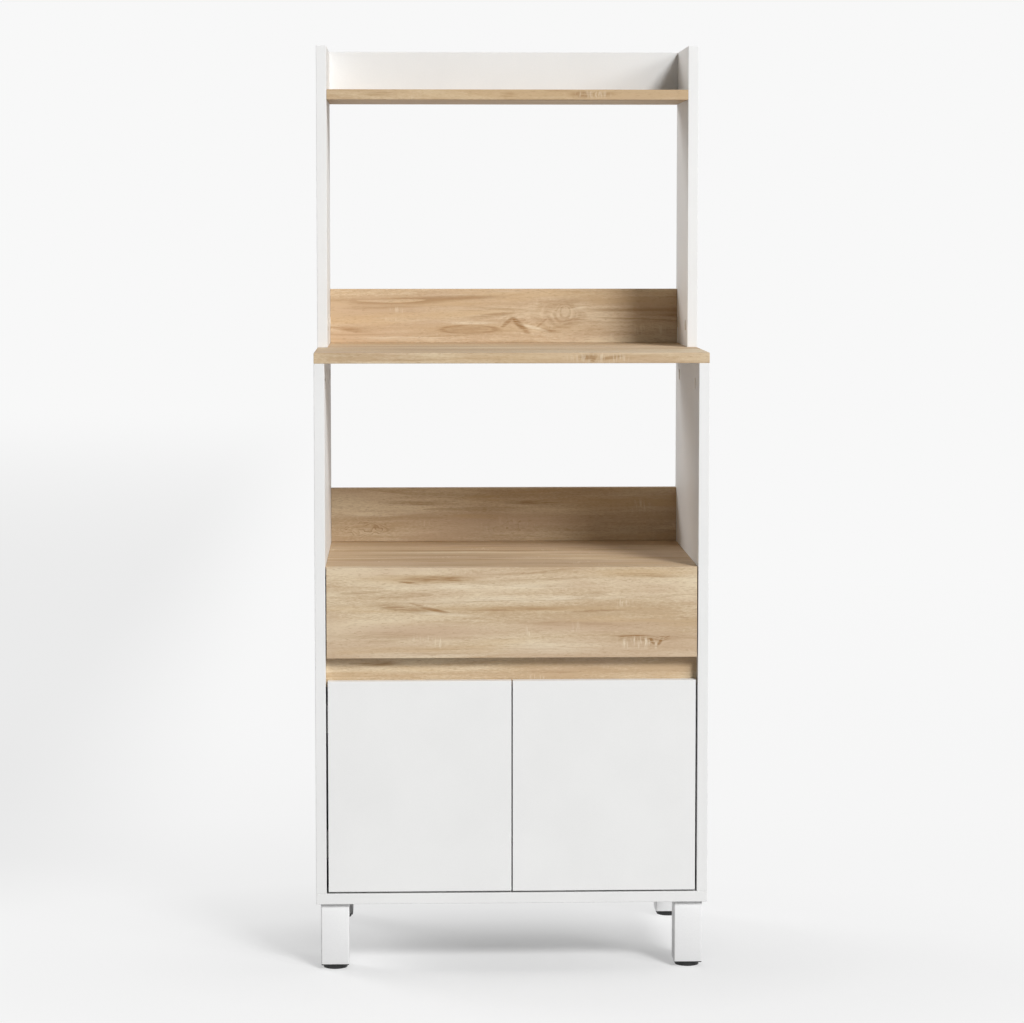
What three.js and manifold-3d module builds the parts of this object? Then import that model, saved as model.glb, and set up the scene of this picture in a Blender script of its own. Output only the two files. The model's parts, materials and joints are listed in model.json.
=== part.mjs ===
// Microwave cabinet: a knock-down board cabinet on four square legs, with a drawer, two doors,
// an open bay for a microwave oven and a shallower open shelf unit on top.
// Millimetres. +X is the right-hand side, -Y the front, +Z up.
// The origin is on the floor, in the middle of the cabinet's footprint.

import * as THREE from 'three';
import { mergeVertices } from 'three/addons/utils/BufferGeometryUtils.js';
import Module from 'manifold-3d';

const wasm = await Module();
wasm.setup();

// Boards
const width = 600;
const depth = 400;
const upperDepth = 200;
const board = 16;
const thinBoard = 3;
const seam = 0.05; // joint line between boards that are bolted together

// Legs and glides
const legSide = 43;
const legHeight = 95;
const legInset = 7;
const legCornerRadius = 2;
const glideHeight = 8;
const glidePlateHeight = 1.5;
const glidePlateSetback = 0.5;
const glideRadius = 18.5;

// Heights of the front, from the bottom panel up
const doorBottomGap = 3;
const doorHeight = 325;
const fingerGap = 35.5;
const drawerFrontHeight = 138.5;
const microwaveBayHeight = 310.5;
const upperBayHeight = 388.5;
const topRailHeight = 68;
const backsplashHeight = 88;

// Gaps around the fronts
const doorSideGap = 3;
const doorCentreGap = 2;
const drawerSideGap = 1.5;
const frontToRailGap = 2;

// Finger rail, back board and door bumpers
const railBehindDoor = 11;
const railBehindDrawer = 14;
const backBoardInset = 8;
const grooveDepth = 8;
const grooveClearance = 0.2;
const bumperRadius = 4;
const bumperClearance = 0.3;
const bumperFromCentre = 32;

// Cam lock covers
const coverRadius = 8.5;
const coverThickness = 0.8;
const camDistance = 34;
const lowerCamInset = 64;
const upperCamInset = 32;

// Drawer box
const drawerBoard = 12;
const drawerBoxHeight = 86;
const drawerRearSpace = 22.75; // drawer box to back board: the box and its runners are 350 long
const drawerAboveRail = 6;
const drawerGrooveHeight = 8;
const drawerGrooveDepth = 6;

// Roller runners
const runnerSpace = 12.5;
const runnerGauge = 1.2;
const runnerLift = 4;
const channelFlange = 10.5;
const channelLip = 5.2;
const lipStart = 26;
const drawerWrap = 12;
const drawerTrack = 6.7;
const rollerRadius = 9.5;
const rollerWidth = 7;
const rollerFromEnd = 12;
const rollerClearance = 0.3;
const rollerHeadroom = 1.3;
const trackHeadroom = 1;
const axleRadius = 2;
const axleTip = 0.8;

// Concealed hinges. u runs inwards from the door's hinge edge, v backwards from its front face.
const hingeFromEnd = 65;
const cupRadius = 17.5;
const cupFromEdge = 3;
const cupDepth = 12.5;
const cupWall = 0.6;
const cupBoreClearance = 0.15;
const cupPivot = { u: 8.2, v: 6.1 };
const armPivot = { u: 24, v: 6.2 };
const pinRadius = 0.8;
const pinClearance = 0.3;
const knuckleRadius = 1.7;
const linkHalfWidth = 2.6;
const linkThickness = 1.4;
const cheekGap = 0.3;
const cheekThickness = 1.2;
const wingLength = 32;
const wingHalfWidth = 8;
const wingThickness = 1;
const wingScrewOffset = 26;
const screwHeadRadius = 3.5;
const screwHeadHeight = 1.2;
const armGauge = 1.6;
const armWebStart = 8.6;
const armCheekEnd = 16;
const armCrankStart = 32;
const armCrankEnd = 48;
const armRear = 84;
const armLow = 8.5;
const plateFront = 45;
const plateRear = 61;
const plateHalfHeight = 22;
const plateThickness = 2;
const plateScrewOffset = 16;
const plateScrewDepth = 53;
const towerRear = 88;
const towerHalfWidth = 6;
const armScrewDepths = [58, 78];

const roundSegments = 32;
const smallSegments = 16;

// Levels and faces worked out from the sizes above
const front = -depth / 2;
const rear = depth / 2;
const innerHalf = width / 2 - board;
const bottomPanelZ = glideHeight + legHeight + 2 * seam;
const bottomPanelTop = bottomPanelZ + board;
const doorZ = bottomPanelTop + doorBottomGap;
const doorTop = doorZ + doorHeight;
const drawerFrontZ = doorTop + fingerGap;
const worktopTop = drawerFrontZ + drawerFrontHeight;
const worktopZ = worktopTop - board;
const lowerSideTop = worktopTop + microwaveBayHeight;
const midShelfZ = lowerSideTop + seam;
const midShelfTop = midShelfZ + board;
const topShelfZ = midShelfTop + upperBayHeight;
const topShelfTop = topShelfZ + board;
const cabinetTop = topShelfTop + seam + topRailHeight;
const upperFront = rear - upperDepth;
const frontBack = front + board;
const railFront = frontBack + frontToRailGap;
const railZ = doorTop - railBehindDoor;
const railTop = drawerFrontZ + railBehindDrawer;
const doorWidth = innerHalf - doorSideGap - doorCentreGap / 2;
const backBoardFront = rear - backBoardInset - grooveClearance - thinBoard;

// Materials
const whiteBoard = new THREE.MeshStandardMaterial({ color: 0xe9e7e3, roughness: 0.42, metalness: 0 });
const oakBoard = new THREE.MeshStandardMaterial({ color: 0xc9ac84, roughness: 0.55, metalness: 0 });
const hardboard = new THREE.MeshStandardMaterial({ color: 0xe4e2dd, roughness: 0.6, metalness: 0 });
const legPaint = new THREE.MeshStandardMaterial({ color: 0xe6e5e2, roughness: 0.4, metalness: 0 });
const blackPlastic = new THREE.MeshStandardMaterial({ color: 0x161616, roughness: 0.5, metalness: 0 });
const hingeSteel = new THREE.MeshStandardMaterial({ color: 0xb9bbbc, roughness: 0.3, metalness: 1 });
const runnerPaint = new THREE.MeshStandardMaterial({ color: 0xeeeeec, roughness: 0.45, metalness: 0 });
const nylon = new THREE.MeshStandardMaterial({ color: 0xd9d8d2, roughness: 0.5, metalness: 0 });
const coverPlastic = new THREE.MeshStandardMaterial({ color: 0xd2ccc2, roughness: 0.5, metalness: 0 });
const clearBuffer = new THREE.MeshStandardMaterial({ color: 0xd8d8d4, roughness: 0.3, metalness: 0 });

const cabinet = new THREE.Group();

// Geometry helpers

function boxBetween(low, high) {
  const size = high.map((value, axis) => value - low[axis]);
  const middle = high.map((value, axis) => (value + low[axis]) / 2);
  return new THREE.BoxGeometry(...size).translate(...middle);
}

function discAlongY(radius, thickness, segments = roundSegments) {
  return new THREE.CylinderGeometry(radius, radius, thickness, segments);
}

function discAlongX(radius, thickness, segments = smallSegments) {
  return discAlongY(radius, thickness, segments).rotateZ(Math.PI / 2);
}

function discAlongZ(radius, thickness, segments = smallSegments) {
  return discAlongY(radius, thickness, segments).rotateX(Math.PI / 2);
}

function bareIndexed(geometry) {
  const bare = geometry.clone();
  bare.deleteAttribute('normal');
  bare.deleteAttribute('uv');
  return mergeVertices(bare, 1e-5);
}

function toSolid(geometry) {
  const merged = bareIndexed(geometry);
  return new wasm.Manifold(new wasm.Mesh({
    numProp: 3,
    vertProperties: merged.attributes.position.array,
    triVerts: Uint32Array.from(merged.index.array),
  }));
}

function fromSolid(solid) {
  const mesh = solid.getMesh();
  const geometry = new THREE.BufferGeometry();
  geometry.setAttribute('position', new THREE.BufferAttribute(mesh.vertProperties, 3));
  geometry.setIndex(new THREE.BufferAttribute(mesh.triVerts, 1));
  geometry.computeVertexNormals();
  return geometry;
}

function joined(...geometries) {
  return fromSolid(geometries.map(toSolid).reduce((whole, next) => whole.add(next)));
}

function cut(geometry, ...tools) {
  return fromSolid(tools.map(toSolid).reduce((rest, tool) => rest.subtract(tool), toSolid(geometry)));
}

function mirroredX(geometry) {
  const copy = bareIndexed(geometry).scale(-1, 1, 1);
  const index = copy.index;
  for (let i = 0; i < index.count; i += 3) {
    const first = index.getX(i);
    index.setX(i, index.getX(i + 1));
    index.setX(i + 1, first);
  }
  copy.computeVertexNormals();
  return copy;
}

// The outline of a strip of sheet metal bent along a centre line, with mitred corners
function stripShape(points, thickness) {
  const normals = points.slice(1).map(([x, y], i) => {
    const length = Math.hypot(x - points[i][0], y - points[i][1]);
    return [-(y - points[i][1]) / length, (x - points[i][0]) / length];
  });
  const offset = (half) => points.map(([x, y], i) => {
    const before = normals[Math.max(i - 1, 0)];
    const after = normals[Math.min(i, normals.length - 1)];
    const sum = [before[0] + after[0], before[1] + after[1]];
    const scale = half / ((sum[0] ** 2 + sum[1] ** 2) / 2);
    return new THREE.Vector2(x + sum[0] * scale, y + sum[1] * scale);
  });
  return new THREE.Shape([...offset(-thickness / 2), ...offset(thickness / 2).reverse()]);
}

function addPiece(name, geometry, material, position = [0, 0, 0], parent = cabinet) {
  const mesh = new THREE.Mesh(geometry, material);
  mesh.name = name;
  mesh.position.set(...position);
  parent.add(mesh);
}

function addBoard(name, material, low, high, parent = cabinet) {
  const size = high.map((value, axis) => value - low[axis]);
  const middle = high.map((value, axis) => (value + low[axis]) / 2);
  addPiece(name, new THREE.BoxGeometry(...size), material, middle, parent);
}

const sides = [{ name: 'left', sign: -1 }, { name: 'right', sign: 1 }];

// Right-hand geometry is drawn; the left-hand piece is its mirror image
function handed(geometry, sign) {
  return sign > 0 ? geometry : mirroredX(geometry);
}

// Legs: square posts with a black glide under each
function addLegs() {
  const half = legSide / 2;
  const r = legCornerRadius;
  const outline = new THREE.Shape();
  outline.moveTo(-half + r, -half);
  outline.absarc(half - r, -half + r, r, -Math.PI / 2, 0);
  outline.absarc(half - r, half - r, r, 0, Math.PI / 2);
  outline.absarc(-half + r, half - r, r, Math.PI / 2, Math.PI);
  outline.absarc(-half + r, -half + r, r, Math.PI, Math.PI * 1.5);
  const post = new THREE.ExtrudeGeometry(outline, { depth: legHeight, bevelEnabled: false, curveSegments: 4 });
  const plateHalf = half - glidePlateSetback;
  const plateZ = glideHeight - glidePlateHeight;
  const plate = boxBetween([-plateHalf, -plateHalf, plateZ], [plateHalf, plateHalf, glideHeight]);
  const footHeight = plateZ + glidePlateHeight / 2;
  const foot = discAlongZ(glideRadius, footHeight, roundSegments).translate(0, 0, footHeight / 2);
  const glide = joined(plate, foot);
  const reachX = width / 2 - legInset - half;
  const reachY = depth / 2 - legInset - half;
  for (const { name, sign } of sides) {
    for (const [place, y] of [['front', -reachY], ['rear', reachY]]) {
      addPiece(`leg_${place}_${name}`, post, legPaint, [sign * reachX, y, glideHeight + seam]);
      addPiece(`glide_${place}_${name}`, glide, blackPlastic, [sign * reachX, y, 0]);
    }
  }
}

// Lower carcass: bottom panel, sides with a groove for the back board, worktop and finger rail
function addLowerCarcass() {
  addBoard('bottom_panel', whiteBoard, [-width / 2, front, bottomPanelZ], [width / 2, rear, bottomPanelTop]);

  const sideBottom = bottomPanelTop + seam;
  const sideHeight = lowerSideTop - sideBottom;
  const grooveRear = rear - backBoardInset;
  const grooveFront = backBoardFront - grooveClearance;
  const grooveTop = worktopZ - sideBottom;
  const groove = boxBetween([-1, grooveFront, -1], [grooveDepth, grooveRear, grooveTop]);
  const sidePanel = cut(boxBetween([0, front, 0], [board, rear, sideHeight]), groove);
  for (const { name, sign } of sides) {
    const position = [sign * innerHalf, 0, sideBottom];
    addPiece(`lower_side_${name}`, handed(sidePanel, sign), whiteBoard, position);
  }

  const backHalf = innerHalf + grooveDepth - grooveClearance;
  addBoard('back_board', hardboard, [-backHalf, backBoardFront, sideBottom],
    [backHalf, backBoardFront + thinBoard, worktopZ - seam]);

  const half = innerHalf - seam;
  addBoard('worktop', oakBoard, [-half, railFront, worktopZ], [half, rear, worktopTop]);
  addBoard('finger_rail', oakBoard, [-half, railFront, railZ], [half, railFront + board, railTop]);
  addBoard('lower_backsplash', oakBoard, [-half, rear - board, worktopTop + seam],
    [half, rear, worktopTop + seam + backsplashHeight]);
}

// Upper unit: full-width shelf on the lower sides, shallower sides on it, top shelf and rails
function addUpperUnit() {
  addBoard('mid_shelf', oakBoard, [-width / 2, front, midShelfZ], [width / 2, rear, midShelfTop]);
  for (const { name, sign } of sides) {
    const xs = [sign * innerHalf, sign * width / 2].sort((a, b) => a - b);
    addBoard(`upper_side_${name}`, whiteBoard, [xs[0], upperFront, midShelfTop + seam],
      [xs[1], rear, cabinetTop]);
  }
  const half = innerHalf - seam;
  addBoard('top_shelf', oakBoard, [-half, upperFront, topShelfZ], [half, rear, topShelfTop]);
  addBoard('top_back_rail', whiteBoard, [-half, rear - board, topShelfTop + seam], [half, rear, cabinetTop]);
  addBoard('mid_backsplash', oakBoard, [-half, rear - board, midShelfTop + seam],
    [half, rear, midShelfTop + seam + backsplashHeight]);
}

// Round covers over the cam locks in the side panels, next to the full-width shelf
function addCamCovers() {
  const cover = discAlongX(coverRadius, coverThickness, roundSegments);
  const rows = [
    { row: 'lower', z: midShelfZ - camDistance, ys: [front + lowerCamInset, rear - lowerCamInset] },
    { row: 'upper', z: midShelfTop + camDistance, ys: [upperFront + upperCamInset, rear - upperCamInset] },
  ];
  const x = innerHalf - seam - coverThickness / 2;
  for (const { row, z, ys } of rows) {
    for (const { name, sign } of sides) {
      addPiece(`cam_cover_${row}_front_${name}`, cover, coverPlastic, [sign * x, ys[0], z]);
      addPiece(`cam_cover_${row}_rear_${name}`, cover, coverPlastic, [sign * x, ys[1], z]);
    }
  }
}

// Drawer: front, two sides, back and a thin bottom held in grooves
const drawerBoxZ = railTop + drawerAboveRail;
const drawerOuterHalf = innerHalf - runnerSpace;
const drawerInnerHalf = drawerOuterHalf - drawerBoard;
const drawerBoxFront = frontBack + seam;
const drawerBoxRear = backBoardFront - drawerRearSpace;

function addDrawerBox() {
  const bottomZ = drawerBoxZ + drawerGrooveHeight + grooveClearance;
  const bottomTop = bottomZ + thinBoard;
  const grooveZ = bottomZ - grooveClearance;
  const grooveTop = bottomTop + grooveClearance;
  const frontHalf = innerHalf - drawerSideGap;
  const grooveReach = drawerInnerHalf + drawerGrooveDepth;

  const frontGroove = boxBetween([-grooveReach, frontBack - drawerGrooveDepth, grooveZ],
    [grooveReach, frontBack + 1, grooveTop]);
  const frontPanel = boxBetween([-frontHalf, front, drawerFrontZ], [frontHalf, frontBack, worktopTop]);
  addPiece('drawer_front', cut(frontPanel, frontGroove), oakBoard);

  const sideGroove = boxBetween([drawerInnerHalf - 1, drawerBoxFront - 1, grooveZ],
    [grooveReach, drawerBoxRear + 1, grooveTop]);
  const sideBoard = cut(boxBetween([drawerInnerHalf, drawerBoxFront, drawerBoxZ],
    [drawerOuterHalf, drawerBoxRear, drawerBoxZ + drawerBoxHeight]), sideGroove);
  for (const { name, sign } of sides) {
    addPiece(`drawer_side_${name}`, handed(sideBoard, sign), whiteBoard);
  }

  const half = drawerInnerHalf - seam;
  addBoard('drawer_back', whiteBoard, [-half, drawerBoxRear - drawerBoard, grooveTop],
    [half, drawerBoxRear, drawerBoxZ + drawerBoxHeight]);
  const bottomHalf = grooveReach - grooveClearance;
  addBoard('drawer_bottom', hardboard, [-bottomHalf, frontBack - drawerGrooveDepth + grooveClearance, bottomZ],
    [bottomHalf, drawerBoxRear, bottomTop]);
}

// Roller runners: a channel on each cabinet side, an angled track under each drawer side.
// The front roller turns on the channel and the rear roller on the drawer's track.
function addRunners() {
  const channelZ = drawerBoxZ + runnerLift;
  const rearRollerZ = channelZ + runnerGauge + rollerClearance + rollerRadius;
  const lipZ = rearRollerZ + rollerRadius + rollerHeadroom;
  const trackZ = lipZ + trackHeadroom;
  const frontRollerZ = trackZ - rollerClearance - rollerRadius;
  const webX = innerHalf - seam;
  const trackX = drawerOuterHalf + seam;
  const axleX = (webX - runnerGauge + trackX + runnerGauge) / 2;
  const frontRollerY = drawerBoxFront + rollerFromEnd;
  const rearRollerY = drawerBoxRear - rollerFromEnd;

  const web = boxBetween([webX - runnerGauge, drawerBoxFront, channelZ],
    [webX, drawerBoxRear, lipZ + runnerGauge]);
  const flange = boxBetween([webX - channelFlange, drawerBoxFront, channelZ],
    [webX, drawerBoxRear, channelZ + runnerGauge]);
  const lip = boxBetween([webX - channelLip, drawerBoxFront + lipStart, lipZ],
    [webX, drawerBoxRear, lipZ + runnerGauge]);
  const frontAxleEnd = trackX + runnerGauge + axleTip / 2;
  const frontAxle = discAlongX(axleRadius, webX - frontAxleEnd)
    .translate((webX + frontAxleEnd) / 2, frontRollerY, frontRollerZ);
  const channel = joined(web, flange, lip, frontAxle);

  const wrapZ = drawerBoxZ - seam - runnerGauge;
  const trackWeb = boxBetween([trackX, drawerBoxFront, wrapZ],
    [trackX + runnerGauge, drawerBoxRear, trackZ + runnerGauge]);
  const wrap = boxBetween([trackX - drawerWrap, drawerBoxFront, wrapZ],
    [trackX + runnerGauge, drawerBoxRear, wrapZ + runnerGauge]);
  const trackFlange = boxBetween([trackX, drawerBoxFront, trackZ],
    [trackX + drawerTrack, drawerBoxRear, trackZ + runnerGauge]);
  const rearAxleEnd = webX - runnerGauge - axleTip;
  const rearAxle = discAlongX(axleRadius, rearAxleEnd - trackX)
    .translate((trackX + rearAxleEnd) / 2, rearRollerY, rearRollerZ);
  const track = joined(trackWeb, wrap, trackFlange, rearAxle);

  const bore = axleRadius + rollerClearance;
  const halfWidth = rollerWidth / 2;
  const profile = [[bore, -halfWidth], [rollerRadius, -halfWidth], [rollerRadius, halfWidth],
    [bore, halfWidth], [bore, -halfWidth]].map(([x, y]) => new THREE.Vector2(x, y));
  const roller = new THREE.LatheGeometry(profile, roundSegments).rotateZ(Math.PI / 2);

  for (const { name, sign } of sides) {
    addPiece(`cabinet_runner_${name}`, handed(channel, sign), runnerPaint);
    addPiece(`drawer_runner_${name}`, handed(track, sign), runnerPaint);
    addPiece(`roller_front_${name}`, roller, nylon, [sign * axleX, frontRollerY, frontRollerZ]);
    addPiece(`roller_rear_${name}`, roller, nylon, [sign * axleX, rearRollerY, rearRollerZ]);
  }
}

// Concealed hinge pieces, drawn for the left-hand door with the door's front hinge corner at the
// origin: x is u, inwards from the hinge edge, and y is v, backwards from the front face
const cupMiddle = cupFromEdge + cupRadius;
const cupFloor = board - cupDepth;

function pinThrough(pivot, radius, halfLength) {
  return discAlongZ(radius, 2 * halfLength).translate(pivot.u, pivot.v, 0);
}

// Two thin plates either side of the link, each with a round end and a bore on the pivot
function cheeks(pivot, low, high) {
  const inside = linkHalfWidth + cheekGap;
  const outside = inside + cheekThickness;
  const plates = [[-outside, -inside], [inside, outside]].map(([from, to]) => joined(
    boxBetween([low[0], low[1], from], [high[0], high[1], to]),
    discAlongZ(knuckleRadius, cheekThickness).translate(pivot.u, pivot.v, (from + to) / 2),
  ));
  return plates.map((plate) => cut(plate, pinThrough(pivot, pinRadius + pinClearance, outside + 1)));
}

function hingeCup() {
  const profile = [[0, 0], [cupRadius, 0], [cupRadius, cupDepth], [cupRadius - cupWall, cupDepth],
    [cupRadius - cupWall, cupWall], [0, cupWall]].map(([x, y]) => new THREE.Vector2(x, y));
  const dish = new THREE.LatheGeometry(profile, roundSegments).translate(cupMiddle, cupFloor, 0);
  const wingBase = board + seam;
  const wings = cut(
    boxBetween([cupMiddle - wingHalfWidth, wingBase, -wingLength],
      [cupMiddle + wingHalfWidth, wingBase + wingThickness, wingLength]),
    discAlongY(cupRadius - cupWall, 4).translate(cupMiddle, board, 0),
  );
  const rim = cut(
    discAlongY(cupRadius, seam + wingThickness).translate(cupMiddle, board + (seam + wingThickness) / 2, 0),
    discAlongY(cupRadius - cupWall, 4).translate(cupMiddle, board, 0),
    boxBetween([0, board, -cupRadius], [cupMiddle - wingHalfWidth, board + 4, cupRadius]),
  );
  const heads = [-wingScrewOffset, wingScrewOffset].map((z) => (
    discAlongY(screwHeadRadius, 2 * screwHeadHeight, smallSegments)
      .translate(cupMiddle, wingBase + wingThickness, z)));
  const floor = cupFloor + cupWall / 2;
  const ears = cheeks(cupPivot, [cupPivot.u - knuckleRadius, floor], [cupPivot.u + knuckleRadius, cupPivot.v]);
  const clipped = heads.map((head) => cut(head, boxBetween([0, 0, -40], [2 * cupMiddle, wingBase, 40])));
  return joined(dish, rim, wings, ...clipped, ...ears);
}

function hingeLink() {
  const halfPin = linkHalfWidth + cheekGap + cheekThickness;
  const strip = new THREE.ExtrudeGeometry(
    stripShape([[cupPivot.u, cupPivot.v], [armPivot.u, armPivot.v]], linkThickness),
    { depth: 2 * linkHalfWidth, bevelEnabled: false },
  ).translate(0, 0, -linkHalfWidth);
  const barrels = [cupPivot, armPivot].map((pivot) => pinThrough(pivot, knuckleRadius - 0.1, linkHalfWidth));
  const pins = [cupPivot, armPivot].map((pivot) => pinThrough(pivot, pinRadius, halfPin));
  return joined(strip, ...barrels, ...pins);
}

function hingeArm() {
  const halfWidth = linkHalfWidth + cheekGap + cheekThickness;
  const centreLine = [[armPivot.u, armWebStart], [armPivot.u, armCrankStart], [armLow, armCrankEnd],
    [armLow, armRear]];
  const web = new THREE.ExtrudeGeometry(stripShape(centreLine, armGauge),
    { depth: 2 * halfWidth, bevelEnabled: false }).translate(0, 0, -halfWidth);
  const cheekHalf = armGauge / 2;
  const forks = cheeks(armPivot, [armPivot.u - cheekHalf, armPivot.v], [armPivot.u + cheekHalf, armCheekEnd]);
  const seat = -doorSideGap + seam;
  const plate = boxBetween([seat, plateFront, -plateHalfHeight],
    [seat + plateThickness, plateRear, plateHalfHeight]);
  const tower = boxBetween([seat, plateFront, -towerHalfWidth], [armLow, towerRear, towerHalfWidth]);
  const plateHeads = [-plateScrewOffset, plateScrewOffset].map((z) => (
    discAlongX(screwHeadRadius, 2 * screwHeadHeight)
      .translate(seat + plateThickness, plateScrewDepth, z)));
  const armHeads = armScrewDepths.map((v) => (
    discAlongX(screwHeadRadius, 2 * screwHeadHeight).translate(armLow + armGauge / 2, v, 0)));
  const clear = boxBetween([-board, 0, -wingLength], [seat, towerRear + board, wingLength]);
  return cut(joined(web, ...forks, plate, tower, ...plateHeads, ...armHeads), clear);
}

// Doors: inset between the sides, each on two concealed hinges, with a bumper on the finger rail
function addDoors() {
  const hingeHeights = { lower: hingeFromEnd, upper: doorHeight - hingeFromEnd };
  const bores = Object.values(hingeHeights).map((z) => (
    discAlongY(cupRadius + cupBoreClearance, 2 * cupDepth)
      .translate(cupMiddle, cupFloor - cupBoreClearance + cupDepth, z)));
  const panel = cut(boxBetween([0, 0, 0], [doorWidth, board, doorHeight]), ...bores);
  const pieces = { hinge_cup: hingeCup(), hinge_link: hingeLink(), hinge_arm: hingeArm() };
  const thickness = frontToRailGap - bumperClearance - seam;
  const bumper = discAlongY(bumperRadius, thickness, roundSegments);

  for (const { name, sign } of sides) {
    const corner = new THREE.Group();
    corner.position.set(sign * (innerHalf - doorSideGap), front, doorZ);
    cabinet.add(corner);
    addPiece(`door_${name}`, handed(panel, -sign), whiteBoard, [0, 0, 0], corner);
    for (const [row, z] of Object.entries(hingeHeights)) {
      for (const [piece, geometry] of Object.entries(pieces)) {
        addPiece(`${piece}_${row}_${name}`, handed(geometry, -sign), hingeSteel, [0, 0, z], corner);
      }
    }
    const bumperY = railFront - seam - thickness / 2;
    const bumperZ = (railZ + doorTop) / 2;
    addPiece(`door_bumper_${name}`, bumper, clearBuffer, [sign * bumperFromCentre, bumperY, bumperZ]);
  }
}

addLegs();
addLowerCarcass();
addUpperUnit();
addCamCovers();
addDrawerBox();
addRunners();
addDoors();

export default cabinet;
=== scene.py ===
import json
import math

import bmesh
import bpy
from mathutils import Matrix, Vector


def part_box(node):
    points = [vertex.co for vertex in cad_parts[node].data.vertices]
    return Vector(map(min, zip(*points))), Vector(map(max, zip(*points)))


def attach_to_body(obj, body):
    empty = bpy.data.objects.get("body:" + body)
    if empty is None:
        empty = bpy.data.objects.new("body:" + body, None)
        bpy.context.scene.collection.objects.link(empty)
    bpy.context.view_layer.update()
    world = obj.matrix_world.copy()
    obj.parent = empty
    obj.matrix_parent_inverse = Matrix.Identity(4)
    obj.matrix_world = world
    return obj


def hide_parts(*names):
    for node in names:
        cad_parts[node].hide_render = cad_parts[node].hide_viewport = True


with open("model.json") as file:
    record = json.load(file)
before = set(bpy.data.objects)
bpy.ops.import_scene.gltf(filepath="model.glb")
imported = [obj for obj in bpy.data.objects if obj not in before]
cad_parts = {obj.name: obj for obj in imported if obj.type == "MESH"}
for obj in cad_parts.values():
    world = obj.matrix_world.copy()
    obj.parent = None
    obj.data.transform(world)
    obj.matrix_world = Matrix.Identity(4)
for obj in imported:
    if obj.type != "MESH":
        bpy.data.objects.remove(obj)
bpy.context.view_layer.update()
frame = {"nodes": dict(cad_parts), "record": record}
mm = 0.001
print("frame:", len(frame["nodes"]), "nodes")


# Colours are written as the eye reads them, 0 to 255, and turned into Blender's linear values.
def tone(red, green, blue):
    parts = [channel / 255 for channel in (red, green, blue)]
    linear = [c / 12.92 if c <= 0.04045 else ((c + 0.055) / 1.055) ** 2.4 for c in parts]
    return (*linear, 1.0)


def feed(tree, socket, value):
    if isinstance(value, bpy.types.NodeSocket):
        tree.links.new(value, socket)
    else:
        socket.default_value = value


def addNode(tree, kind, inputs=None, **settings):
    made = tree.nodes.new("ShaderNode" + kind)
    for setting, value in settings.items():
        setattr(made, setting, value)
    for socket, value in (inputs or {}).items():
        feed(tree, made.inputs[socket], value)
    return made


def calc(tree, operation, *values):
    made = tree.nodes.new("ShaderNodeMath")
    made.operation = operation
    for socket, value in zip(made.inputs, values):
        feed(tree, socket, value)
    return made.outputs[0]


def combine(tree, x, y, z):
    return addNode(tree, "CombineXYZ", {0: x, 1: y, 2: z}).outputs[0]


def cloud(tree, vector, detail, roughness=0.5):
    inputs = {"Vector": vector, "Scale": 1.0, "Detail": detail, "Roughness": roughness}
    return addNode(tree, "TexNoise", inputs).outputs[0]


def fade(tree, value, start, end):  # 0 at start, 1 at end, smooth between
    inputs = {0: value, 1: start, 2: end, 3: 0.0, 4: 1.0}
    return addNode(tree, "MapRange", inputs, interpolation_type="SMOOTHSTEP").outputs[0]


def mixTones(tree, share, first, second):
    return addNode(tree, "Mix", {0: share, 6: first, 7: second}, data_type="RGBA").outputs[2]


def rampOf(tree, value, stops):
    made = addNode(tree, "ValToRGB", {0: value})
    elements = made.color_ramp.elements
    while len(elements) < len(stops):
        elements.new(0.5)
    for element, (position, colour) in zip(elements, stops):
        element.position = position
        element.color = colour
    return made.outputs[0]


def startFinish(name, **values):
    material = bpy.data.materials.new(name)
    material.use_nodes = True
    tree = material.node_tree
    shader = tree.nodes["Principled BSDF"]
    for socket, value in values.items():
        shader.inputs[socket.replace("_", " ")].default_value = value
    place = addNode(tree, "TexCoord").outputs["Object"]
    return material, tree, shader, place


def stretched(tree, place, repeats):  # repeats is how often a pattern starts anew in a metre along X, Y and Z
    return addNode(tree, "Mapping", {"Vector": place, "Scale": repeats}).outputs[0]


# The grain swings the roughness between the two values of gloss; the relief is depth deep
def joinUp(tree, shader, colour, grain, gloss, relief, depth):
    smoothest, roughest = gloss
    bump = addNode(tree, "Bump", {"Height": relief, "Distance": depth, "Strength": 1.0}).outputs[0]
    feed(tree, shader.inputs["Base Color"], colour)
    feed(tree, shader.inputs["Roughness"], calc(tree, "MULTIPLY_ADD", grain, roughest - smoothest, smoothest))
    feed(tree, shader.inputs["Normal"], bump)


# A faint mottle, a fine tooth in the surface and a little unevenness in the gloss
def plainFinish(name, colour, shadow, grainSize, tooth, gloss, **values):
    mottleRepeats = 9
    darkest, lightest = 0.34, 0.66
    material, tree, shader, place = startFinish(name, **values)
    mottle = cloud(tree, stretched(tree, place, [mottleRepeats] * 3), detail=3)
    grain = cloud(tree, stretched(tree, place, [1 / grainSize] * 3), detail=2, roughness=0.6)
    spread = calc(tree, "MULTIPLY_ADD", grain, 0.5, calc(tree, "MULTIPLY", mottle, 0.5))
    mixed = mixTones(tree, fade(tree, spread, darkest, lightest), shadow, colour)
    joinUp(tree, shader, mixed, grain, gloss, grain, tooth)
    return material


# Metal drawn or rolled along one direction
def drawnMetal(name, colour, shadow, repeats, tooth, gloss):
    darkest, lightest = 0.3, 0.7
    material, tree, shader, place = startFinish(name, Metallic=1.0)
    lines = cloud(tree, stretched(tree, place, repeats), detail=3, roughness=0.6)
    mixed = mixTones(tree, fade(tree, lines, darkest, lightest), shadow, colour)
    joinUp(tree, shader, mixed, lines, gloss, lines, tooth)
    return material


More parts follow.
